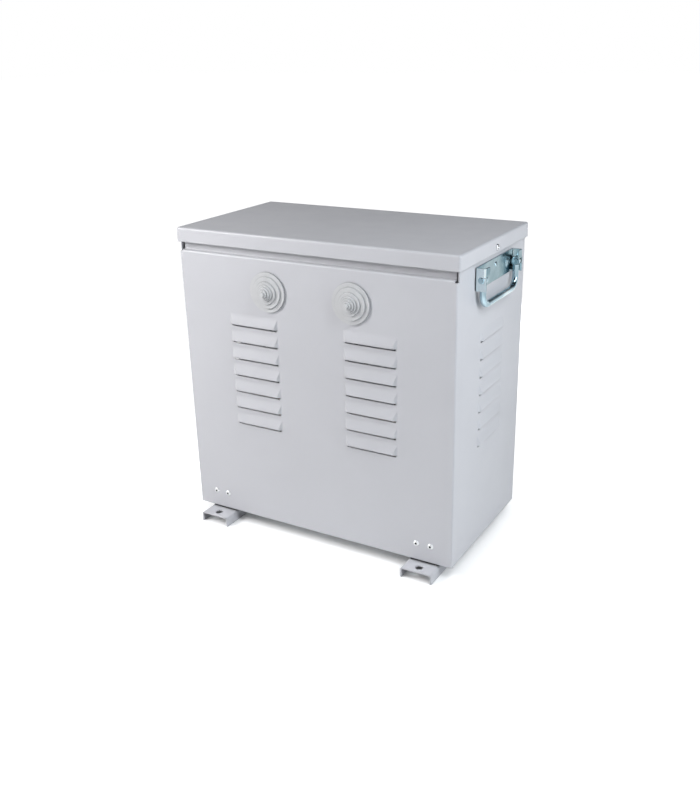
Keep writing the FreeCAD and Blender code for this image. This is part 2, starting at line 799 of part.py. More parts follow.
def make_base():
    """Base plate on the feet, slotted for air under every coil."""
    body = new_body("base_plate")
    x, y = "side_inner - base_gap", "panel_inner - base_gap"
    add(body, "XY", "foot_height", "base_top", [rectangle(f"-({x})", x, f"-({y})", y)])
    holes = [(*place, "large_hole") for place in corner_places("foot_bolt_y")]
    holes += [(*place, "small_hole") for place in corner_places("bracket_bolt_y")]
    holes.append(("0", "-earth_y", "small_hole"))
    slots = []
    for limb in (-1, 0, 1):
        left = f"{limb} * limb_pitch - slot_length / 2 + slot_width / 2"
        right = f"{limb} * limb_pitch + slot_length / 2 - slot_width / 2"
        slots.append([(left, "-slot_width / 2"), (right, "-slot_width / 2"),
                      (right, "slot_width / 2"), (left, "slot_width / 2")])
    remove(body, "XY", "foot_height - beyond", "base_top + beyond", slots, holes)
    node(body, "base_plate")


def make_brackets():
    """Angle brackets between the base plate and the front and rear panels."""
    for side_name, side in (("left", -1), ("right", 1)):
        for end_name, end in (("front", -1), ("rear", 1)):
            label = f"panel_bracket_{end_name}_{side_name}"
            body = new_body(label)
            face = f"{end} * panel_inner"
            inner = f"{end} * (panel_inner - bracket_sheet)"
            toe = f"{end} * bracket_toe"
            top = "base_top + bracket_height"
            shelf = "base_top + bracket_sheet"
            middle = f"{side} * foot_x"
            section = [(face, "base_top"), (face, top), (inner, top), (inner, shelf), (toe, shelf),
                       (toe, "base_top")]
            add(body, "YZ", f"{middle} - foot_width / 2", f"{middle} + foot_width / 2", [section])
            round_edges(body, "bracket_bend", "x", [(face, "base_top")])
            round_edges(body, "bracket_bend - bracket_sheet", "x", [(inner, shelf)])
            low, high = sorted((f"{face} + {end} * beyond", f"{inner} - {end} * beyond"), key=number)
            hole = "rivet_hole" if end < 0 else "screw_hole"
            remove(body, "XZ", low, high,
                   circles=[(f"{middle} + {step} * rivet_spacing / 2", "rivet_level", hole)
                            for step in (-1, 1)])
            remove(body, "XY", "base_top - beyond", f"{shelf} + beyond",
                   circles=[(middle, f"{end} * bracket_bolt_y", "small_hole")])
            node(body, label)


def make_base_bolts():
    """Bolts that hold the lower clamps and the brackets down through base plate and feet."""
    under = "foot_height - foot_sheet"
    nut_bottom = "clamp_top + washer_sheet"
    places = corner_places("foot_bolt_y")
    node(group([bolt("z", place, under, f"{nut_bottom} + large_nut + thread_end", "large_flats", "large_head",
                     "large_bolt") for place in places]), "foot_bolts")
    node(group([ring("z", place, "clamp_top", nut_bottom, "large_washer", "large_hole") for place in places]),
         "foot_washers")
    node(group([nut("z", place, nut_bottom, f"{nut_bottom} + large_nut", "large_flats",
                    "large_bolt + pin_clear") for place in places]), "foot_nuts")
    shelf = "base_top + bracket_sheet"
    places = corner_places("bracket_bolt_y")
    node(group([bolt("z", place, under, f"{shelf} + small_nut + thread_end", "small_flats", "small_head",
                     "small_bolt") for place in places]), "bracket_bolts")
    node(group([nut("z", place, shelf, f"{shelf} + small_nut", "small_flats", "small_bolt + pin_clear")
                for place in places]), "bracket_nuts")


def make_grommets():
    """Stepped rubber membranes: each step can be cut open to the size of a cable."""
    rings = [f"grommet_ring_{index}" for index in range(1, 7)]
    outside = [("grommet_radius", "0"), ("grommet_radius", "-grommet_flange")]
    for index, ring_radius in enumerate(rings):
        outside.append((f"{ring_radius} + grommet_draft", f"-grommet_flange - {index} * grommet_step"))
        outside.append((ring_radius, f"-grommet_flange - {index + 1} * grommet_step"))
    tip = f"-grommet_flange - {len(rings)} * grommet_step"
    neck = "(grommet_hole - grommet_clear)"
    inside = [
        ("0", tip), ("0", f"{tip} + grommet_wall"),
        (f"{neck} - 2 * grommet_wall", "-grommet_flange + grommet_wall"),
        (f"{neck} - grommet_wall", "body_sheet + grommet_grip"),
        (f"{neck} + grommet_lip / 2", "body_sheet + grommet_grip"),
        (f"{neck} + grommet_lip", "body_sheet"), (neck, "body_sheet"), (neck, "0"),
    ]
    for label, side in (("cable_grommet_left", -1), ("cable_grommet_right", 1)):
        body = new_body(label)
        turned(body, (f"{side} * grommet_offset", "-half_depth", "grommet_level"), outside + inside)
        node(body, label)


# Drop handles

HANDLES = (("left", -1), ("right", 1))


def make_handle(label, side):
    """Plate folded from one strip: two ears, and a tab on each that stops the bail."""
    body = new_body(f"handle_plate_{label}")
    back, face, edge = f"{side} * side_x", f"{side} * handle_face", f"{side} * handle_edge"
    inside = f"{side} * (handle_edge - handle_sheet)"
    fold = f"{side} * (handle_edge - handle_bend)"
    inner_bend = "handle_bend - handle_sheet"
    tab = "(ear_inner - stop_length)"
    low_section = [(back, "-handle_end"), (edge, "-handle_end"), (edge, "-ear_inner"), (face, "-ear_inner"),
                   (face, "ear_inner"), (edge, "ear_inner"), (edge, "handle_end"), (back, "handle_end")]
    high_section = [
        (back, "-handle_end"), (fold, "-handle_end", "handle_bend", side),
        (edge, "-handle_end + handle_bend"), (edge, f"-{tab}"), (inside, f"-{tab}"),
        (inside, f"-ear_inner + {inner_bend}", inner_bend, -side), (fold, "-ear_inner"),
        (face, "-ear_inner"), (face, "ear_inner"), (fold, "ear_inner", inner_bend, -side),
        (inside, f"ear_inner - ({inner_bend})"), (inside, tab), (edge, tab),
        (edge, "handle_end - handle_bend", "handle_bend", side), (fold, "handle_end"), (back, "handle_end"),
    ]
    add(body, "XY", "handle_bottom", "stop_bottom", [low_section])
    add(body, "XY", "stop_bottom", "handle_top", [high_section])
    round_edges(body, "handle_bend", "z", [(back, "-handle_end"), (back, "handle_end")])
    round_edges(body, inner_bend, "z", [(face, "-ear_inner"), (face, "ear_inner")])
    low, high = sorted((f"{side} * (side_x - beyond)", f"{side} * (handle_face + beyond)"), key=number)
    holes = [(y, "handle_rivet_level", "rivet_hole") for y in handle_rivet_places()]
    remove(body, "YZ", low, high, circles=[*holes, ("0", "centre_rivet_level", "rivet_hole")])
    remove(body, "XZ", "-handle_end - beyond", "handle_end + beyond",
           circles=[(f"{side} * pivot_x", "handle_axis_level", "pin_radius + pin_clear")])
    node(body, f"handle_plate_{label}")


def make_bail(label, side):
    """Round bar bent to a bail, with flattened eyes that turn on the pins."""
    body = new_body(f"handle_bail_{label}")
    axis = f"{side} * pivot_x"
    low = "handle_axis_level - bail_drop"
    spine = sketch(body, "YZ", axis, [[
        ("-arm_y", "arm_top"), ("-arm_y", f"{low} + bail_corner", "bail_corner", 1),
        ("-arm_y + bail_corner", low), ("arm_y - bail_corner", low, "bail_corner", 1),
        ("arm_y", f"{low} + bail_corner"), ("arm_y", "arm_top")]], open_loop=True)
    profile = sketch(body, "XY", "arm_top", circles=[(axis, "-arm_y", "bail_rod")])
    pipe = body.newObject("PartDesign::AdditivePipe", body.Name + "_pipe")
    pipe.Profile = profile
    pipe.Spine = (spine, [f"Edge{index}" for index in range(1, 6)])
    doc.recompute()
    for end in (-1, 1):
        centre = f"{end} * arm_y"
        add(body, "XZ", f"{centre} - eye_thickness / 2", f"{centre} + eye_thickness / 2",
            circles=[(axis, "handle_axis_level", "eye_radius")])
    remove(body, "XZ", "-arm_y - bail_rod - beyond", "arm_y + bail_rod + beyond",
           circles=[(axis, "handle_axis_level", "pin_radius + pin_clear")])
    node(body, f"handle_bail_{label}")


def make_pins():
    """Pins riveted through the ears, with a head on each end."""
    pins = []
    for _, side in HANDLES:
        for end in (-1, 1):
            body = new_body("handle_pin")
            inner, outer = f"{end} * pin_inner", f"{end} * handle_end"
            inner_top = f"{end} * (pin_inner - pin_head_height)"
            outer_top = f"{end} * (handle_end + pin_head_height)"
            turned(body, (f"{side} * pivot_x", "0", "handle_axis_level"), [
                ("0", inner_top), ("pin_head", inner_top), ("pin_head", inner), ("pin_radius", inner),
                ("pin_radius", outer), ("pin_head", outer), ("pin_head - pin_head_height / 2", outer_top),
                ("0", outer_top)])
            pins.append(body)
    node(group(pins), "handle_pins")


# Core and coils

def core_bolt_places():
    levels = ("lower_bolt_level", "upper_bolt_level")
    return [(f"{side} * core_bolt_x", level) for side in (-1, 1) for level in levels]


def make_core():
    body = new_body("core_e_stack")
    inner, outer = "limb / 2", "limb / 2 + window"
    window_top, window_low = "upper_yoke_bottom", "lower_yoke_top"
    section = [("-core_x", "core_bottom"), ("core_x", "core_bottom"), ("core_x", window_top),
               (outer, window_top), (outer, window_low), (inner, window_low), (inner, window_top),
               (f"-({inner})", window_top), (f"-({inner})", window_low), (f"-({outer})", window_low),
               (f"-({outer})", window_top), ("-core_x", window_top)]
    add(body, "XZ", "-core_y", "core_y", [section])
    remove(body, "XZ", "-core_y - beyond", "core_y + beyond",
           circles=[(x, z, "large_hole") for x, z in core_bolt_places() if z == "lower_bolt_level"])
    node(body, "core_e_stack")
    body = new_body("core_i_yoke")
    add(body, "XZ", "-core_y", "core_y", [rectangle("-core_x", "core_x", "upper_yoke_bottom", "core_top")])
    remove(body, "XZ", "-core_y - beyond", "core_y + beyond",
           circles=[(x, z, "large_hole") for x, z in core_bolt_places() if z == "upper_bolt_level"])
    node(body, "core_i_yoke")


def make_coils():
    """Coil former and winding on each limb."""
    for phase, limb in (("a", -1), ("b", 0), ("c", 1)):
        middle = f"{limb} * limb_pitch"
        former = new_body(f"coil_former_{phase}")

        def frame(x, y):
            return rectangle(f"{middle} - ({x})", f"{middle} + ({x})", f"-({y})", y)

        bore = frame("tube_x - former_wall", "tube_y - former_wall")
        flange = frame("coil_x + former_margin", "coil_y + former_margin")
        add(former, "XY", "lower_yoke_top", "lower_yoke_top + former_wall", [flange, bore])
        add(former, "XY", "lower_yoke_top + former_wall", "former_top - former_wall",
            [frame("tube_x", "tube_y"), bore])
        add(former, "XY", "former_top - former_wall", "former_top", [flange, bore])
        node(former, f"coil_former_{phase}")
        winding = new_body(f"winding_{phase}")
        add(winding, "XY", "lower_yoke_top + former_wall", "former_top - former_wall",
            [frame("coil_x", "coil_y"), frame("tube_x", "tube_y")])
        round_edges(winding, "coil_corner", "z", [(f"{middle} + {sx} * coil_x", f"{sy} * coil_y")
                                                  for sx in (-1, 1) for sy in (-1, 1)])
        node(winding, f"winding_{phase}")


def make_clamps():
    """Angle sections that hold the yokes and carry the core and the terminal rail."""
    for end_name, end in (("front", -1), ("rear", 1)):
        face, back, edge = f"{end} * core_y", f"{end} * clamp_y", f"{end} * clamp_edge"
        lower = new_body(f"core_clamp_lower_{end_name}")
        top = "base_top + clamp_leg"
        add(lower, "YZ", "-foot_x - clamp_lower_end", "foot_x + clamp_lower_end",
            [[(face, "base_top"), (face, top), (back, top), (back, "clamp_top"), (edge, "clamp_top"),
              (edge, "base_top")]])
        remove(lower, "XZ", "-clamp_edge - beyond", "clamp_edge + beyond",
               circles=[(x, z, "large_hole") for x, z in core_bolt_places() if z == "lower_bolt_level"])
        remove(lower, "XY", "base_top - beyond", "clamp_top + beyond",
               circles=[(f"{side} * foot_x", f"{end} * foot_bolt_y", "large_hole") for side in (-1, 1)])
        node(lower, f"core_clamp_lower_{end_name}")
        upper = new_body(f"core_clamp_upper_{end_name}")
        bottom, shelf = "core_top - clamp_leg", "core_top - clamp_sheet"
        add(upper, "YZ", "-core_x - clamp_upper_end", "core_x + clamp_upper_end",
            [[(face, bottom), (face, "core_top"), (edge, "core_top"), (edge, shelf), (back, shelf),
              (back, bottom)]])
        remove(upper, "XZ", "-clamp_edge - beyond", "clamp_edge + beyond",
               circles=[(x, z, "large_hole") for x, z in core_bolt_places() if z == "upper_bolt_level"])
        if end < 0:
            remove(upper, "XY", f"{shelf} - beyond", "core_top + beyond",
                   circles=[(x, "-rail_centre", "small_hole") for x in support_places()])
        node(upper, f"core_clamp_upper_{end_name}")


def make_core_bolts():
    places = core_bolt_places()
    washer = "clamp_y + washer_sheet"
    node(group([bolt("y", place, f"-({washer})", f"{washer} + large_nut + thread_end", "large_flats",
                     "large_head", "large_bolt") for place in places]), "core_bolts")
    washers = [ring("y", place, f"-({washer})", "-clamp_y", "large_washer", "large_hole") for place in places]
    washers += [ring("y", place, "clamp_y", washer, "large_washer", "large_hole") for place in places]
    node(group(washers), "core_washers")
    node(group([nut("y", place, washer, f"{washer} + large_nut", "large_flats", "large_bolt + pin_clear")
                for place in places]), "core_nuts")


# Terminal rail and leads

def support_places():
    return [f"{side} * support_offset" for side in (-1, 1)]


def make_supports():
    """Channel brackets that lift the terminal rail above the upper clamp."""
    back = "-(rail_centre - support_width / 2)"
    front = "-(rail_centre + support_width / 2)"
    web = f"{back} - support_sheet"
    low, high = "core_top + support_sheet", "support_top - support_sheet"
    for name, x in zip(("left", "right"), support_places()):
        body = new_body(f"rail_support_{name}")
        section = [(front, "core_top"), (back, "core_top"), (back, "support_top"), (front, "support_top"),
                   (front, high), (web, high), (web, low), (front, low)]
        add(body, "YZ", f"{x} - support_width / 2", f"{x} + support_width / 2", [section])
        remove(body, "XY", "core_top - beyond", "support_top + beyond",
               circles=[(x, "-rail_centre", "small_hole")])
        node(body, f"rail_support_{name}")


def make_rail():
    """Top-hat mounting rail with its base down."""
    body = new_body("terminal_rail")

    def y(offset):
        return f"-rail_centre + ({offset})"

    base, lip = "rail_base / 2", "rail_width / 2"
    under_lip = "rail_top - rail_sheet"
    floor = "support_top + rail_sheet"
    inside = f"{base} - rail_sheet"
    section = [(y(f"-({base})"), "support_top"), (y(base), "support_top"), (y(base), under_lip),
               (y(lip), under_lip), (y(lip), "rail_top"), (y(inside), "rail_top"), (y(inside), floor),
               (y(f"-({inside})"), floor), (y(f"-({inside})"), "rail_top"), (y(f"-({lip})"), "rail_top"),
               (y(f"-({lip})"), under_lip), (y(f"-({base})"), under_lip)]
    add(body, "YZ", "-support_offset - rail_end", "support_offset + rail_end", [section])
    remove(body, "XY", "support_top - beyond", f"{floor} + beyond",
           circles=[(x, "-rail_centre", "small_hole") for x in support_places()])
    node(body, "terminal_rail")


def make_support_bolts():
    places = [(x, "-rail_centre") for x in support_places()]
    shelf = "core_top - clamp_sheet"
    leg = "core_top + support_sheet"
    bolts = [bolt("z", place, shelf, f"{leg} + small_nut + thread_end", "small_flats", "small_head",
                  "small_bolt") for place in places]
    base = "support_top + rail_sheet"
    under = "support_top - support_sheet"
    bolts += [bolt("z", place, base, f"{under} - small_nut - thread_end", "small_flats", "small_head",
                   "small_bolt") for place in places]
    node(group(bolts), "support_bolts")
    nuts = [nut("z", place, low, f"{low} + small_nut", "small_flats", "small_bolt + pin_clear")
            for place in places for low in (leg, f"{under} - small_nut")]
    node(group(nuts), "support_nuts")


def terminal_block(name, left, right, height):
    """Rail-mounted block: stepped shoulders, and feet that hook under the rail's lips."""
    body = new_body(name)
    front, rear = "-terminal_front", "-terminal_rear"
    lip = "(rail_width / 2 + terminal_gap)"
    front_lip, rear_lip = f"-rail_centre - {lip}", f"-rail_centre + {lip}"
    front_grip, rear_grip = f"{front_lip} + terminal_grip", f"{rear_lip} - terminal_grip"
    hook_top = "rail_top - rail_sheet - terminal_gap"
    hook_low = f"{hook_top} - terminal_hook"
    top = f"rail_top + {height}"
    shoulder = f"{top} - terminal_shoulder"
    slope = "terminal_step + terminal_slope"
    add(body, "YZ", left, right, [[
        (front, hook_low), (front_grip, hook_low), (front_grip, hook_top), (front_lip, hook_top),
        (front_lip, "rail_top"), (rear_lip, "rail_top"), (rear_lip, hook_top), (rear_grip, hook_top),
        (rear_grip, hook_low), (rear, hook_low),
        (rear, shoulder), (f"{rear} - terminal_step", shoulder), (f"{rear} - ({slope})", top),
        (f"{front} + {slope}", top), (f"{front} + terminal_step", shoulder), (front, shoulder),
    ]])
    return body


def terminal_x(place):
    """Middle of the terminal that many places from the earth terminal."""
    return f"{place} * terminal_pitch"


def make_terminals():
    """Input blocks to the left, the earth block in the middle, output blocks to the right, and end stops."""
    half = "(terminal_pitch - terminal_gap) / 2"

    def block(place):
        return terminal_block("terminal", f"{terminal_x(place)} - {half}", f"{terminal_x(place)} + {half}",
                              "terminal_height")

    node(group([block(place) for place in (-4, -3, -2, -1)]), "input_terminals")
    node(block(0), "earth_terminal")
    node(group([block(place) for place in (1, 2, 3, 4)]), "output_terminals")
    edge = "4.5 * terminal_pitch"
    stops = [terminal_block("end_stop", f"-{edge} - end_stop_width", f"-{edge}", "end_stop_height"),
             terminal_block("end_stop", edge, f"{edge} + end_stop_width", "end_stop_height")]
    node(group(stops), "end_stops")


def lead(label, points):
    """Round lead along straight runs joined by tangent arcs, each as large as its two runs allow."""
    corners = [FreeCAD.Vector(*(number(value) for value in point)) for point in points]
    lengths = [(after - before).Length for before, after in zip(corners, corners[1:])]
    shares = [MIDDLE_SHARE] * len(lengths)
    shares[0] = shares[-1] = END_SHARE
    edges = []
    radii = []
    start = corners[0]
    for index in range(1, len(corners) - 1):
        corner = corners[index]
        incoming = (corner - corners[index - 1]).normalize()
        outgoing = (corners[index + 1] - corner).normalize()
        half_turn = incoming.getAngle(outgoing) / 2
        reach = min(shares[index - 1] * lengths[index - 1], shares[index] * lengths[index])
        radius = reach / math.tan(half_turn)
        first, last = corner - incoming * reach, corner + outgoing * reach
        towards = (outgoing - incoming).normalize()
        middle = corner + towards * (radius / math.cos(half_turn) - radius)
        edges.append(Part.LineSegment(start, first).toShape())
        edges.append(Part.Arc(first, middle, last).toShape())
        radii.append(round(radius, 1))
        start = last
    edges.append(Part.LineSegment(start, corners[-1]).toShape())
    path = Part.Wire(edges)
    lead_radius = number("lead_radius")
    section = Part.Wire(Part.makeCircle(lead_radius, corners[0], corners[1] - corners[0]))
    solid = path.makePipeShell([section], True, False)
    expected = math.pi * lead_radius ** 2 * path.Length
    if abs(solid.Volume - expected) > VOLUME_ERROR * expected:
        raise RuntimeError(f"{label}: the lead's volume is not its section times its length")
    print(label, "bend radii in mm:", radii)
    return solid


def lead_node(label, routes):
    """Leads of one kind, each a separate solid."""
    item = doc.addObject("Part::Feature", label)
    solids = [lead(label, route) for route in routes]
    item.Shape = solids[0] if len(solids) == 1 else Part.makeCompound(solids)
    node(item, label)


def make_phase_leads():
    """Leads from the front of each winding to its input and output terminals."""
    for label, side, first, plane in (("input_leads", -1, -4, "inner_lead_plane"),
                                      ("output_leads", 1, 1, "outer_lead_plane")):
        routes = []
        for index, limb_place in enumerate((-1, 0, 1)):
            start = f"{limb_place} * limb_pitch + {side} * lead_exit"
            end = terminal_x(first + index)
            routes.append([(start, "-coil_y", "lead_level"), (start, f"-{plane}", "lead_level"),
                           (end, f"-{plane}", "entry_level"), (end, "-terminal_front", "entry_level")])
        lead_node(label, routes)


def make_star_point():
    """Bar that joins the windings behind, and the neutral leads from it over the core."""
    bar = new_body("star_bar")
    end = "limb_pitch + star_bar_end"
    add(bar, "XZ", "coil_y", "coil_y + star_bar_sheet",
        [rectangle(f"-({end})", end, "lead_level - star_bar_height / 2", "lead_level + star_bar_height / 2")])
    node(bar, "star_bar")
    lead_node("neutral_leads", [
        [(terminal_x(place), "coil_y + star_bar_sheet", "lead_level"),
         (terminal_x(place), "rear_lead_plane", "lead_level"),
         (terminal_x(place), "rear_lead_plane", "entry_level"),
         (terminal_x(place), "-terminal_rear", "entry_level")] for place in (-1, 4)])


def make_earth():
    """Earth stud through the base plate, with its lug, its nuts and the lead to the terminal."""
    centre = ("0", "-earth_y")
    lug_bottom = "base_top + small_nut"
    lug_top = f"{lug_bottom} + lug_sheet"
    barrel_top = f"{lug_top} + lug_barrel_height"
    node(bolt("z", centre, "foot_height", "base_top + earth_stud_height", "small_flats", "small_head",
              "small_bolt"), "earth_stud")
    lug = new_body("earth_lug")
    add(lug, "XY", lug_bottom, lug_top, circles=[("0", "-earth_y", "lug_ring")])
    add(lug, "XY", lug_bottom, lug_top,
        [rectangle("0", "lug_reach", "-earth_y - lug_barrel", "-earth_y + lug_barrel")])
    add(lug, "XY", lug_bottom, barrel_top, circles=[("lug_reach", "-earth_y", "lug_barrel")])
    remove(lug, "XY", f"{lug_bottom} - beyond", f"{lug_top} + beyond",
           circles=[("0", "-earth_y", "small_hole")])
    node(lug, "earth_lug")
    node(group([nut("z", centre, low, f"{low} + small_nut", "small_flats", "small_bolt + pin_clear")
                for low in ("base_top", lug_top)]), "earth_nuts")
    lead_node("earth_lead", [[
        ("lug_reach", "-earth_y", barrel_top), ("lug_reach", "-earth_y", "lower_yoke_top"),
        ("0", "-earth_y", "earth_bend_level"), ("0", "-earth_y", "entry_level"),
        ("0", "-terminal_front", "entry_level"),
    ]])


def write_parts():
    """Check every object, then write each sub-part to its file."""
    doc.recompute()
    for item in doc.Objects:
        if "Invalid" in item.State or "Error" in item.State:
            raise RuntimeError(f"{item.Name} ({item.Label}) failed: {item.State}")
    for item in nodes:
        if item.Shape.isNull() or not item.Shape.isValid() or not item.Shape.Solids:
            raise RuntimeError(f"{item.Label} has no valid solid")
    os.makedirs("parts", exist_ok=True)
    for item in nodes:
        item.Shape.exportStep(f"parts/{item.Label}.step")


make_wrap()
make_rear_panel()
make_lid()
make_screws()
make_front_rivets()
make_feet()
make_base()
make_brackets()
make_base_bolts()
make_grommets()
for handle_name, handle_side in HANDLES:
    make_handle(handle_name, handle_side)
    make_bail(handle_name, handle_side)
make_pins()
make_handle_rivets()
make_core()
make_coils()
make_clamps()
make_core_bolts()
make_supports()
make_rail()
make_support_bolts()
make_terminals()
make_phase_leads()
make_star_point()
make_earth()
write_parts()
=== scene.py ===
"""Looks of the three-phase autotransformer: camera, studio, materials and small fasteners.

Everything is in metres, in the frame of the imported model. The front looks along -Y.
"""

import json
import math

import bmesh
import bpy
from mathutils import Matrix, Vector


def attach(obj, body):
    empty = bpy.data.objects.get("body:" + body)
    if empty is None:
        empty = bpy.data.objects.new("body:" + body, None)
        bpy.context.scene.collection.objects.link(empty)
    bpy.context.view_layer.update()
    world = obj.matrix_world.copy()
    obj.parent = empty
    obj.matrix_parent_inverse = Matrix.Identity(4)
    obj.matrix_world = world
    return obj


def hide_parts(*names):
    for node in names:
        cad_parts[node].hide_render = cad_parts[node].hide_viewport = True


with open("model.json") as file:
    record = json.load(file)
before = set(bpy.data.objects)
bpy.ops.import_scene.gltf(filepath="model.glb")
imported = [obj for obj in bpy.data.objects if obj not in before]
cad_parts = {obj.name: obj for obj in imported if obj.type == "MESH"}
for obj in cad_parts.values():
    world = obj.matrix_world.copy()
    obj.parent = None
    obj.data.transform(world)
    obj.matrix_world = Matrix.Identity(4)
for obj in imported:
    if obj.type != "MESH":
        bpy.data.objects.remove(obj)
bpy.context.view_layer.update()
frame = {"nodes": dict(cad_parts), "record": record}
scene = bpy.context.scene
scene.view_settings.view_transform = "Standard"

# From the middle of the model to the outer faces of its front and rear sheets
HALF_DEPTH = 0.109


# Camera

def make_camera():
    """Pinhole camera, fitted in its place, turn and lens to the object's edges in the photograph."""
    place = (0.60538, -1.04255, 0.65013)
    heading = Matrix.Rotation(math.radians(29.98369), 3, "Z")
    roll = Matrix.Rotation(math.radians(1.19996), 3, "Y")
    tilt = Matrix.Rotation(math.radians(68.42434), 3, "X")
    data = bpy.data.cameras.new("camera")
    data.sensor_fit = "VERTICAL"
    data.sensor_height = 36
    data.lens = 41.605
    data.clip_end = 100
    camera = bpy.data.objects.new("camera", data)
    camera.matrix_world = Matrix.Translation(place) @ (heading @ roll @ tilt).to_4x4()
    scene.collection.objects.link(camera)
    scene.camera = camera


# Nodes of the world and the materials

# Where a Mix node has its two colours and its result, because several of its sockets share a name
FIRST_COLOUR = 6
SECOND_COLOUR = 7
MIXED_COLOUR = 2


def node(tree, kind, inputs=None, **settings):
    """New node with these settings. Each input is linked to another node's output or set to a value."""
    made = tree.nodes.new(kind)
    for name, value in settings.items():
        setattr(made, name, value)
    for name, value in (inputs or {}).items():
        if isinstance(value, bpy.types.NodeSocket):
            tree.links.new(value, made.inputs[name])
        else:
            made.inputs[name].default_value = value
    return made


def arithmetic(tree, operation, *values):
    return node(tree, "ShaderNodeMath", dict(enumerate(values)), operation=operation).outputs[0]


def mixed_colour(tree, factor, first, second, blend_type="MIX"):
    inputs = {"Factor": factor, FIRST_COLOUR: first, SECOND_COLOUR: second}
    mix = node(tree, "ShaderNodeMix", inputs, data_type="RGBA", blend_type=blend_type)
    return mix.outputs[MIXED_COLOUR]


def mixed_shader(tree, factor, first, second):
    return node(tree, "ShaderNodeMixShader", {"Fac": factor, 1: first, 2: second}).outputs[0]


def noise(tree, place, scale, detail, roughness=0.5, distortion=0):
    inputs = {"Vector": place, "Scale": scale, "Detail": detail,
              "Roughness": roughness, "Distortion": distortion}
    return node(tree, "ShaderNodeTexNoise", inputs).outputs["Fac"]


def bands(tree, place, scale, direction, distortion):
    inputs = {"Vector": place, "Scale": scale, "Distortion": distortion}
    return node(tree, "ShaderNodeTexWave", inputs, bands_direction=direction).outputs["Fac"]


def ramp(tree, value, stops):
    """Colour for a value, between stops of a position and a colour."""
    scale = node(tree, "ShaderNodeValToRGB", {"Fac": value})
    elements = scale.color_ramp.elements
    while len(elements) < len(stops):
        elements.new(0.5)
    for element, (position, colour) in zip(elements, stops):
        element.position = position
        element.color = (*colour, 1)
    return scale.outputs["Color"]


def spread(tree, value, low, high, first=0.3, last=0.7):
    """The value's stretch from first to last, spread over low to high."""
    inputs = {"Value": value, "From Min": first, "From Max": last, "To Min": low, "To Max": high}
    return node(tree, "ShaderNodeMapRange", inputs).outputs["Result"]


def background_rays(tree):
    """One for the rays that show the background: camera, glossy and transmission."""
    rays = node(tree, "ShaderNodeLightPath").outputs
    seen = arithmetic(tree, "MAXIMUM", rays["Is Camera Ray"], rays["Is Glossy Ray"])
    return arithmetic(tree, "MAXIMUM", seen, rays["Is Transmission Ray"])


# Studio

WARM_WHITE = (1.0, 0.99, 0.985)
WHITE = (1, 1, 1, 1)


def make_world():
    """White for the camera, a ceiling that darkens upwards in reflections, and soft light on the object."""
    world = bpy.data.worlds.new("studio")
    scene.world = world
    world.use_nodes = True
    tree = world.node_tree
    tree.nodes.clear()
    direction = node(tree, "ShaderNodeTexCoord").outputs["Generated"]
    height = node(tree, "ShaderNodeSeparateXYZ", {0: direction}).outputs["Z"]
    ceiling = ramp(tree, height, [(0.08, (1, 1, 1)), (0.26, (0.22, 0.22, 0.23)),
                                  (0.55, (0.03, 0.03, 0.035))])
    camera_ray = node(tree, "ShaderNodeLightPath").outputs["Is Camera Ray"]
    shown = {"Color": mixed_colour(tree, camera_ray, ceiling, WHITE)}
    soft = {"Color": (0.94, 0.97, 1.0, 1), "Strength": spread(tree, height, 0.11, 0.08, first=0.0, last=0.6)}
    both = mixed_shader(tree, background_rays(tree),
                        node(tree, "ShaderNodeBackground", soft).outputs[0],
                        node(tree, "ShaderNodeBackground", shown).outputs[0])
    node(tree, "ShaderNodeOutputWorld", {"Surface": both})


def floor_paper():
    """Pale paper that shows white as the background, with a painted shadow close under the object."""
    material = bpy.data.materials.new("floor_paper")
    material.use_nodes = True
    tree = material.node_tree
    tree.nodes.clear()
    place = node(tree, "ShaderNodeTexCoord").outputs["Object"]
    distance = node(tree, "ShaderNodeVectorMath", {0: place}, operation="LENGTH").outputs["Value"]
    # Painted shadow: the glow fades with ambient occlusion close under and beside the object.
    uncovered = node(tree, "ShaderNodeAmbientOcclusion", {"Distance": 0.06}).outputs["AO"]
    strength = arithmetic(tree, "MULTIPLY", spread(tree, distance, 0.70, 1.0, first=0.6, last=2.2), uncovered)
    glow = mixed_shader(tree, background_rays(tree),
                        node(tree, "ShaderNodeEmission", {"Strength": 0}).outputs[0],
                        node(tree, "ShaderNodeEmission", {"Color": WHITE, "Strength": strength}).outputs[0])
    paper = node(tree, "ShaderNodeBsdfDiffuse", {"Color": (0.86, 0.865, 0.87, 1)}).outputs[0]
    both = node(tree, "ShaderNodeAddShader", {0: paper, 1: glow}).outputs[0]
    node(tree, "ShaderNodeOutputMaterial", {"Surface": both})
    return material


def make_floor():
    half = 14
    corners = [(-half, -half, 0), (half, -half, 0), (half, half, 0), (-half, half, 0)]
    mesh = bpy.data.meshes.new("floor")
    mesh.from_pydata(corners, [], [(0, 1, 2, 3)])
    mesh.materials.append(floor_paper())
    floor = bpy.data.objects.new("floor", mesh)
    scene.collection.objects.link(floor)


def softbox(name, place, size, power, colour, aim):
    """Rectangular lamp that shines from its place towards its aim, and that the camera doesn't see."""
    data = bpy.data.lights.new(name, "AREA")
    data.shape = "RECTANGLE"
    data.size, data.size_y = size
    data.energy = power
    data.color = colour
    lamp = bpy.data.objects.new(name, data)
    lamp.location = place
    lamp.rotation_euler = (Vector(aim) - Vector(place)).to_track_quat("-Z", "Y").to_euler()
    lamp.visible_camera = False
    scene.collection.objects.link(lamp)


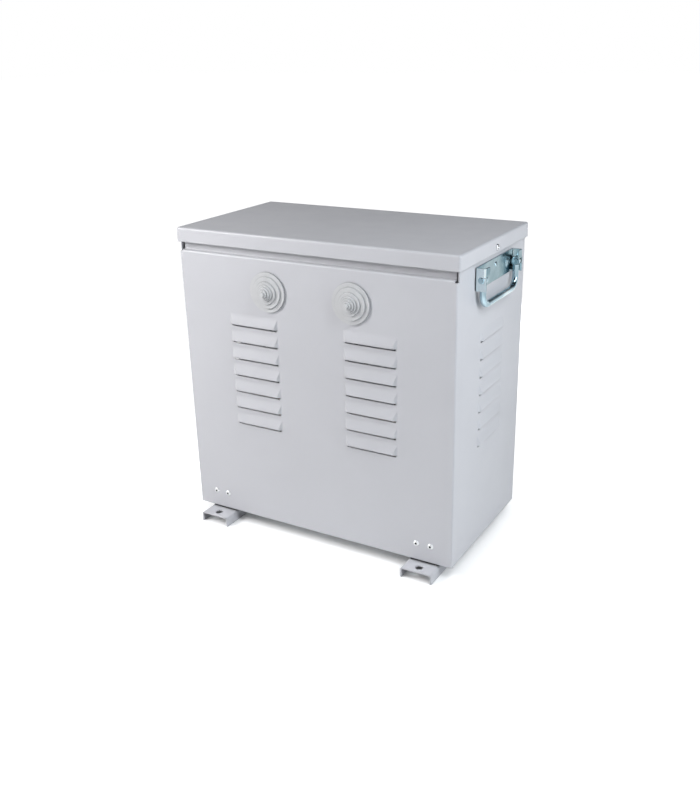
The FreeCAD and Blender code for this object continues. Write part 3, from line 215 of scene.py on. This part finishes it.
def make_lamps():
    """A key, a fill and a low lamp for the front, two cooler lamps for the right side, and one behind."""
    middle = (0, 0, 0.25)
    right_side = (0.2, -0.05, 0.2)
    softbox("key", (-0.8, -0.75, 0.88), (0.35, 0.35), 9.4, WARM_WHITE, (0, 0, 0.3))
    softbox("fill", (-0.85, -1.0, 1.3), (0.45, 0.45), 1.8, WARM_WHITE, middle)
    softbox("low", (-1.2, -1.35, 0.42), (0.5, 0.4), 3.2, WARM_WHITE, middle)
    softbox("side", (0.8, -0.2, 0.55), (0.3, 0.4), 2.7, (0.915, 0.965, 1.0), right_side)
    softbox("side_top", (0.8, -0.42, 1.2), (0.3, 0.3), 4.6, (0.92, 0.965, 1.0), right_side)
    softbox("back", (0, 1.2, 0.3), (0.36, 0.2), 4.6, (0.97, 0.985, 1.0), (0, HALF_DEPTH, 0.25))


# Materials

def start(name):
    """New material: itself, its tree, its shader, and the object coordinates in metres."""
    material = bpy.data.materials.new(name)
    material.use_nodes = True
    tree = material.node_tree
    shader = next(item for item in tree.nodes if item.type == "BSDF_PRINCIPLED")
    return material, tree, shader, node(tree, "ShaderNodeTexCoord").outputs["Object"]


def painted_gap_shade(tree, colour, distance, darkest, first, last):
    """The colour with painted shade: darker in gaps narrower than the distance and where pieces meet."""
    uncovered = node(tree, "ShaderNodeAmbientOcclusion", {"Distance": distance}, samples=8).outputs["AO"]
    shade = ramp(tree, uncovered, [(first, (darkest, darkest, darkest)), (last, (1, 1, 1))])
    return mixed_colour(tree, 1, colour, shade, blend_type="MULTIPLY")


def vary_roughness(tree, shader, pattern, low, high):
    tree.links.new(spread(tree, pattern, low, high), shader.inputs["Roughness"])


def rounded(tree, radius):
    """Normal with every edge rounded by the radius, as a film of paint or plating rounds it."""
    return node(tree, "ShaderNodeBevel", {"Radius": radius}, samples=6).outputs["Normal"]


def bump(tree, shader, pattern, depth, strength, under=None):
    """The pattern as relief of that depth in the shader's normal, on top of the relief under it."""
    inputs = {"Strength": strength, "Distance": depth, "Height": pattern}
    if under is not None:
        inputs["Normal"] = under
    normal = node(tree, "ShaderNodeBump", inputs).outputs["Normal"]
    tree.links.new(normal, shader.inputs["Normal"])
    return normal


def powder_coat():
    """Light grey semi-gloss powder coat with faint clouds, orange peel, soft edges and shade in gaps."""
    material, tree, shader, place = start("enclosure_paint")
    cloud = noise(tree, place, scale=5, detail=3)
    film = ramp(tree, cloud, [(0.3, (0.592, 0.594, 0.628)), (0.7, (0.625, 0.628, 0.663))])
    # Painted shade: the colour darkens in narrow gaps and, more widely, in deep hollows such as inside the
    # feet and under the case.
    film = painted_gap_shade(tree, film, distance=0.0028, darkest=0.25, first=0.2, last=0.7)
    film = painted_gap_shade(tree, film, distance=0.025, darkest=0.12, first=0.08, last=0.3)
    tree.links.new(film, shader.inputs["Base Color"])
    vary_roughness(tree, shader, noise(tree, place, scale=38, detail=3), 0.33, 0.42)
    waves = noise(tree, place, scale=60, detail=2)
    peel = noise(tree, place, scale=620, detail=2, roughness=0.45)
    wavy = bump(tree, shader, waves, depth=0.00012, strength=0.25, under=rounded(tree, 0.0018))
    bump(tree, shader, peel, depth=0.00006, strength=0.35, under=wavy)
    return material


def grommet_rubber():
    """Matt light grey rubber, with painted shade in the corners of its steps."""
    material, tree, shader, place = start("grommet_rubber")
    cloud = noise(tree, place, scale=90, detail=4)
    skin = ramp(tree, cloud, [(0.3, (0.60, 0.606, 0.62)), (0.7, (0.66, 0.665, 0.68))])
    # Painted shade in the corners and grooves of the steps.
    skin = painted_gap_shade(tree, skin, distance=0.003, darkest=0.15, first=0.28, last=0.8)
    skin = painted_gap_shade(tree, skin, distance=0.012, darkest=0.35, first=0.2, last=0.72)
    tree.links.new(skin, shader.inputs["Base Color"])
    vary_roughness(tree, shader, noise(tree, place, scale=240, detail=2), 0.42, 0.56)
    bump(tree, shader, noise(tree, place, scale=1500, detail=2), depth=0.00004, strength=0.4)
    return material


def paint_flank_highlight(tree, plating, bright):
    """The plating with a painted highlight on the faces that look forward or back."""
    normal = node(tree, "ShaderNodeNewGeometry").outputs["Normal"]
    across = node(tree, "ShaderNodeSeparateXYZ", {0: normal}).outputs["Y"]
    painted_highlight_share = spread(tree, arithmetic(tree, "ABSOLUTE", across), 0, 1, first=0.35, last=0.75)
    return mixed_colour(tree, painted_highlight_share, plating, (*bright, 1))


def zinc_plate(name, dark, tint, light, roughness, cloud_scale, flank_highlight=None):
    """Bright zinc: clouded passivation, fine drawing lines, painted shade in gaps, and a painted highlight in
    a colour on the forward and backward faces if one is given.
    """
    material, tree, shader, place = start(name)
    cloud = noise(tree, place, cloud_scale, detail=3, roughness=0.55, distortion=0.6)
    plating = ramp(tree, cloud, [(0.28, dark), (0.5, tint), (0.72, light)])
    # Painted highlight: faces that look forward or back take the lighter colour.
    if flank_highlight is not None:
        plating = paint_flank_highlight(tree, plating, flank_highlight)
    # Painted shade in narrow gaps.
    plating = painted_gap_shade(tree, plating, distance=0.003, darkest=0.12, first=0.15, last=0.7)
    tree.links.new(plating, shader.inputs["Base Color"])
    shader.inputs["Metallic"].default_value = 1
    patches = noise(tree, place, scale=130, detail=3)
    vary_roughness(tree, shader, patches, roughness - 0.03, roughness + 0.06)
    drawn = node(tree, "ShaderNodeMapping", {"Vector": place, "Scale": (900, 120, 900)}).outputs["Vector"]
    lines = noise(tree, drawn, scale=1, detail=2)
    bump(tree, shader, lines, depth=0.00003, strength=0.25, under=rounded(tree, 0.0004))
    return material


def turned_metal(name, dark, light, roughness, painted_shade_reach=0.001, painted_shade_first=0.15, painted_shade_last=0.5):
    """Small turned or rolled metal piece, with painted shade in its recesses."""
    material, tree, shader, place = start(name)
    metal = ramp(tree, noise(tree, place, scale=260, detail=3), [(0.3, dark), (0.7, light)])
    # Painted shade: near black in recesses narrower than the reach, such as the rivet bores.
    metal = painted_gap_shade(tree, metal, painted_shade_reach, darkest=0.03, first=painted_shade_first, last=painted_shade_last)
    tree.links.new(metal, shader.inputs["Base Color"])
    shader.inputs["Metallic"].default_value = 1
    patches = noise(tree, place, scale=700, detail=2)
    vary_roughness(tree, shader, patches, roughness - 0.05, roughness + 0.08)
    bump(tree, shader, noise(tree, place, scale=1800, detail=2), depth=0.00002, strength=0.35)
    return material


def galvanised():
    """Hot-dip galvanised sheet with its spangle."""
    material, tree, shader, place = start("galvanised")
    crystals = node(tree, "ShaderNodeTexVoronoi", {"Vector": place, "Scale": 130}).outputs["Color"]
    spangle = node(tree, "ShaderNodeRGBToBW", {0: crystals}).outputs[0]
    zinc = ramp(tree, spangle, [(0.2, (0.47, 0.49, 0.51)), (0.8, (0.63, 0.65, 0.67))])
    tree.links.new(zinc, shader.inputs["Base Color"])
    shader.inputs["Metallic"].default_value = 1
    vary_roughness(tree, shader, spangle, 0.34, 0.52)
    bump(tree, shader, noise(tree, place, scale=420, detail=2), depth=0.00004, strength=0.3)
    return material


def laminated_steel():
    """Stack of thin sheets under varnish."""
    material, tree, shader, place = start("core_steel")
    sheets = bands(tree, place, scale=320, direction="Y", distortion=0.4)
    edges = ramp(tree, sheets, [(0.1, (0.035, 0.036, 0.04)), (0.6, (0.13, 0.135, 0.145))])
    tree.links.new(edges, shader.inputs["Base Color"])
    shader.inputs["Metallic"].default_value = 0.7
    vary_roughness(tree, shader, noise(tree, place, scale=60, detail=3), 0.3, 0.5)
    bump(tree, shader, sheets, depth=0.0001, strength=0.4)
    return material


def winding():
    """Rows of enamelled copper wire under clear varnish."""
    material, tree, shader, place = start("winding")
    rows = bands(tree, place, scale=210, direction="Z", distortion=0.3)
    wires = ramp(tree, rows, [(0.05, (0.10, 0.035, 0.012)), (0.5, (0.42, 0.17, 0.06)),
                              (0.95, (0.60, 0.28, 0.11))])
    tree.links.new(wires, shader.inputs["Base Color"])
    shader.inputs["Metallic"].default_value = 0.8
    vary_roughness(tree, shader, noise(tree, place, scale=45, detail=3), 0.22, 0.4)
    bump(tree, shader, rows, depth=0.0004, strength=0.7)
    return material


def moulded(name, dark, light, roughness):
    """Moulded plastic or wire insulation with a fine grain."""
    material, tree, shader, place = start(name)
    skin = ramp(tree, noise(tree, place, scale=120, detail=3), [(0.3, dark), (0.7, light)])
    tree.links.new(skin, shader.inputs["Base Color"])
    patches = noise(tree, place, scale=500, detail=2)
    vary_roughness(tree, shader, patches, roughness - 0.05, roughness + 0.08)
    bump(tree, shader, noise(tree, place, scale=1600, detail=2), depth=0.00003, strength=0.35)
    return material


# Dark colour, light colour and roughness of the metals and the plastics that differ in nothing else
TURNED_METALS = {
    "bright_steel": ((0.50, 0.51, 0.53), (0.68, 0.69, 0.70), 0.24),
    # The stems' near-black colour is painted shade inside the rivet bores.
    "stem_steel_painted_shade": ((0.012, 0.012, 0.013), (0.04, 0.04, 0.042), 0.5),
    "copper": ((0.62, 0.27, 0.14), (0.80, 0.40, 0.24), 0.3),
}
PLASTICS = {
    "former": ((0.02, 0.02, 0.022), (0.035, 0.035, 0.038), 0.45),
    "terminal_plastic": ((0.25, 0.255, 0.26), (0.30, 0.305, 0.31), 0.42),
    "earth_plastic": ((0.12, 0.30, 0.03), (0.20, 0.38, 0.05), 0.42),
    "lead_black": ((0.008, 0.008, 0.008), (0.02, 0.02, 0.02), 0.38),
    "lead_blue": ((0.01, 0.035, 0.22), (0.02, 0.06, 0.32), 0.38),
    "lead_green": ((0.04, 0.20, 0.015), (0.08, 0.28, 0.02), 0.38),
}


def make_materials():
    """Material of every slot of the record, and of the rivets' broken stems, by name."""
    made = {
        "enclosure_paint": powder_coat(),
        "zinc": zinc_plate("zinc", dark=(0.26, 0.38, 0.44), tint=(0.40, 0.53, 0.59), light=(0.62, 0.72, 0.76),
                           roughness=0.09, cloud_scale=34),
        # zinc_sheet is the same plating: its dark teal is partly the passivation's tint and partly a painted
        # dark reflection on the handle plates.
        "zinc_sheet": zinc_plate("zinc_sheet", dark=(0.10, 0.21, 0.27), tint=(0.21, 0.33, 0.37),
                                 light=(0.36, 0.46, 0.50), roughness=0.17, cloud_scale=26,
                                 flank_highlight=(0.66, 0.76, 0.79)),
        "rivet_alloy": turned_metal("rivet_alloy", (0.70, 0.71, 0.72), (0.84, 0.85, 0.86), 0.42,
                                    painted_shade_reach=0.0024, painted_shade_first=0.36, painted_shade_last=0.6),
        "grommet_rubber": grommet_rubber(),
        "galvanised": galvanised(),
        "core_steel": laminated_steel(),
        "winding": winding(),
    }
    made.update((name, turned_metal(name, *look)) for name, look in TURNED_METALS.items())
    made.update((name, moulded(name, *look)) for name, look in PLASTICS.items())
    return made


def dress(materials):
    """Every CAD node takes the material of its slot in the record."""
    for part in frame["record"]["subparts"]:
        mesh = frame["nodes"][part["node"]].data
        mesh.materials.clear()
        mesh.materials.append(materials[part["material_slot"]])


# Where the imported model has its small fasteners

LID_X = 0.203
LID_SCREW_LEVEL = 0.408
FLANGE_SCREW_X = 0.1915
FLANGE_SCREW_LEVELS = (0.063, 0.203, 0.343)
# Middle of a foot, and the steps from there to the two fasteners above it
FOOT_X = 0.16
FOOT_PAIR = (-0.01, 0.01)
FOOT_PAIR_LEVEL = 0.041
# Floor of the bores of the handle rivets, and each rivet's y and level
HANDLE_BORE_FLOOR = 0.201
HANDLE_RIVETS = ((-0.038, 0.381), (0, 0.387), (0.038, 0.381))
SIDES = (-1, 1)

# Each place is a point and the direction outwards
above_feet = [side * (FOOT_X + step) for side in SIDES for step in FOOT_PAIR]
lid_screw_places = [((side * LID_X, 0, LID_SCREW_LEVEL), (side, 0, 0)) for side in SIDES]
rear_screw_places = [((side * FLANGE_SCREW_X, HALF_DEPTH, level), (0, 1, 0))
                     for side in SIDES for level in FLANGE_SCREW_LEVELS]
rear_screw_places += [((x, HALF_DEPTH, FOOT_PAIR_LEVEL), (0, 1, 0)) for x in above_feet]
front_rivet_places = [((x, -HALF_DEPTH, FOOT_PAIR_LEVEL), (0, -1, 0)) for x in above_feet]
handle_stem_places = [((side * HANDLE_BORE_FLOOR, y, level), (side, 0, 0))
                      for side in SIDES for y, level in HANDLE_RIVETS]


# Small fasteners

def as_mesh(name, shape):
    mesh = bpy.data.meshes.new(name)
    shape.to_mesh(mesh)
    shape.free()
    return mesh


def as_object(name, shape):
    item = bpy.data.objects.new(name, as_mesh(name, shape))
    scene.collection.objects.link(item)
    return item


def lathe(profile, sides):
    """Closed solid of revolution about Z, from (radius, height) points that start and end on the axis."""
    shape = bmesh.new()
    rings = []
    for radius, height in profile:
        count = sides if radius > 0 else 1
        angles = [2 * math.pi * step / sides for step in range(count)]
        rings.append([shape.verts.new((radius * math.cos(angle), radius * math.sin(angle), height))
                      for angle in angles])
    for low, high in zip(rings, rings[1:]):
        for step in range(sides):
            after = (step + 1) % sides
            corners = [low[step % len(low)], low[after % len(low)],
                       high[after % len(high)], high[step % len(high)]]
            shape.faces.new(list(dict.fromkeys(corners)))
    bmesh.ops.recalc_face_normals(shape, faces=shape.faces)
    return shape


def cross_cutter(reach, width, top, bottom):
    """Cross from the top down to the bottom, where it is narrower, that cuts the recess of a head."""
    taper = 0.45
    half = width / 2
    plan = [(reach, -half), (reach, half), (half, half), (half, reach), (-half, reach), (-half, half),
            (-reach, half), (-reach, -half), (-half, -half), (-half, -reach), (half, -reach), (half, -half)]
    shape = bmesh.new()
    upper = [shape.verts.new((x, y, top)) for x, y in plan]
    lower = [shape.verts.new((x * taper, y * taper, bottom)) for x, y in plan]
    shape.faces.new(upper)
    shape.faces.new(lower[::-1])
    for step in range(len(plan)):
        after = (step + 1) % len(plan)
        shape.faces.new([upper[step], lower[step], lower[after], upper[after]])
    bmesh.ops.recalc_face_normals(shape, faces=shape.faces)
    return shape


def pan_head_screw():
    """Pan-head screw with a cross recess, its seat at height 0, head up and shank down."""
    head, rise, fullness, steps = 0.004, 0.0022, 0.55, 12
    shank, length, tip, tip_length = 0.002, 0.008, 0.0016, 0.0005
    reach, width, depth, above = 0.0021, 0.0011, 0.0017, 0.0002
    quarter = [math.pi / 2 * step / steps for step in range(steps)]
    crown = [(head * math.cos(angle) ** fullness, rise * math.sin(angle)) for angle in quarter]
    profile = [(0, -length), (tip, -length), (shank, tip_length - length), (shank, 0), *crown, (0, rise)]
    body = as_object("pan_head", lathe(profile, sides=48))
    cutter = as_object("recess", cross_cutter(reach, width, top=rise + above, bottom=rise - depth))
    cut = body.modifiers.new("recess", "BOOLEAN")
    cut.operation = "DIFFERENCE"
    cut.solver = "EXACT"
    cut.object = cutter
    screw = bpy.data.meshes.new_from_object(body.evaluated_get(bpy.context.evaluated_depsgraph_get()))
    for item in (body, cutter):
        bpy.data.objects.remove(item)
    return screw


# Bores that the stems of the blind rivets are broken off in, and the clearance round a stem
FRONT_BORE_RADIUS = 0.0016
FRONT_BORE_DEPTH = 0.0008
HANDLE_BORE_RADIUS = 0.0012
STEM_CLEARANCE = 0.00002


def rolled_rivet():
    """Blind rivet through two sheets, its seat at height 0, with a rolled rim round its bore."""
    shank, grip, bulge, tail, tail_end = 0.0024, 0.0035, 0.0036, 0.0067, 0.003
    head, dome, fullness, steps = 0.0041, 0.0015, 0.8, 8
    rim, flat, sag, roll = 0.0021, 0.00025, 0.00003, 0.0003
    bore, floor = FRONT_BORE_RADIUS, -FRONT_BORE_DEPTH
    shares = [step / steps for step in range(1, steps + 1)]
    crown = [(head + (rim - head) * share, dome * math.sin(math.pi / 2 * share) ** fullness)
             for share in shares]
    profile = [(0, -tail), (tail_end, -tail), (bulge, -grip), (shank, -grip), (shank, 0), (head, 0),
               *crown, (rim - flat, dome - sag), (bore, dome - roll), (bore, floor), (0, floor)]
    return as_mesh("rolled_rivet", lathe(profile, sides=36))


def broken_stem(bore, foot, length, sides):
    """Stem in a bore, from the height of its foot up to its dished break."""
    radius = bore - STEM_CLEARANCE
    edge, hollow = 0.75 * radius, 0.3 * radius
    top = foot + length
    chamfer, dish, dish_middle = 0.0001, 0.0002, 0.00015
    profile = [(0, foot), (radius, foot), (radius, top - chamfer), (edge, top), (hollow, top - dish),
               (0, top - dish_middle)]
    return as_mesh("broken_stem", lathe(profile, sides))


def fastener_set(name, solid, places, material, slot, sharp_degrees, twist=0):
    """One piece of equal solids, each along its place's direction and a twist further round than the last."""
    shape = bmesh.new()
    for index, (point, outwards) in enumerate(places):
        facing = Vector(outwards).to_track_quat("Z", "Y").to_matrix().to_4x4()
        turn = facing @ Matrix.Rotation(twist * index, 4, "Z")
        before = set(shape.verts)
        shape.from_mesh(solid)
        fresh = [vert for vert in shape.verts if vert not in before]
        bmesh.ops.transform(shape, matrix=Matrix.Translation(point) @ turn, verts=fresh)
    piece = as_object(name, shape)
    for face in piece.data.polygons:
        face.use_smooth = True
    piece.data.set_sharp_from_angle(angle=math.radians(sharp_degrees))
    piece.data.materials.append(material)
    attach(piece, "housing")
    return piece


def make_screws(steel):
    """Screws with crowned and cross-recessed heads, in place of the solids' plain ones."""
    screw = pan_head_screw()
    look = {"material": steel, "slot": "bright_steel", "sharp_degrees": 32, "twist": 0.9}
    lid_heads = fastener_set("lid_screw_heads", screw, lid_screw_places, **look)
    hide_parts("lid_screws")
    rear_heads = fastener_set("rear_screw_heads", screw, rear_screw_places, **look)
    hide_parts("rear_screws")


def make_rivets(alloy, steel):
    """Front rivets with rolled rims, in place of the solids' plain ones, and the stems left in all rivets."""
    rivet = {"material": alloy, "slot": "rivet_alloy", "sharp_degrees": 35}
    stem = {"material": steel, "slot": "core_steel", "sharp_degrees": 35}
    heads = fastener_set("front_rivet_heads", rolled_rivet(), front_rivet_places, **rivet)
    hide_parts("front_rivets")
    front_stem = broken_stem(FRONT_BORE_RADIUS, foot=-FRONT_BORE_DEPTH, length=0.0019, sides=24)
    fastener_set("front_rivet_stems", front_stem, front_rivet_places, **stem)
    handle_stem = broken_stem(HANDLE_BORE_RADIUS, foot=0, length=0.0022, sides=20)
    fastener_set("handle_rivet_stems", handle_stem, handle_stem_places, **stem)


make_camera()
make_world()
make_floor()
make_lamps()
materials = make_materials()
dress(materials)
make_screws(materials["bright_steel"])
make_rivets(materials["rivet_alloy"], materials["stem_steel_painted_shade"])
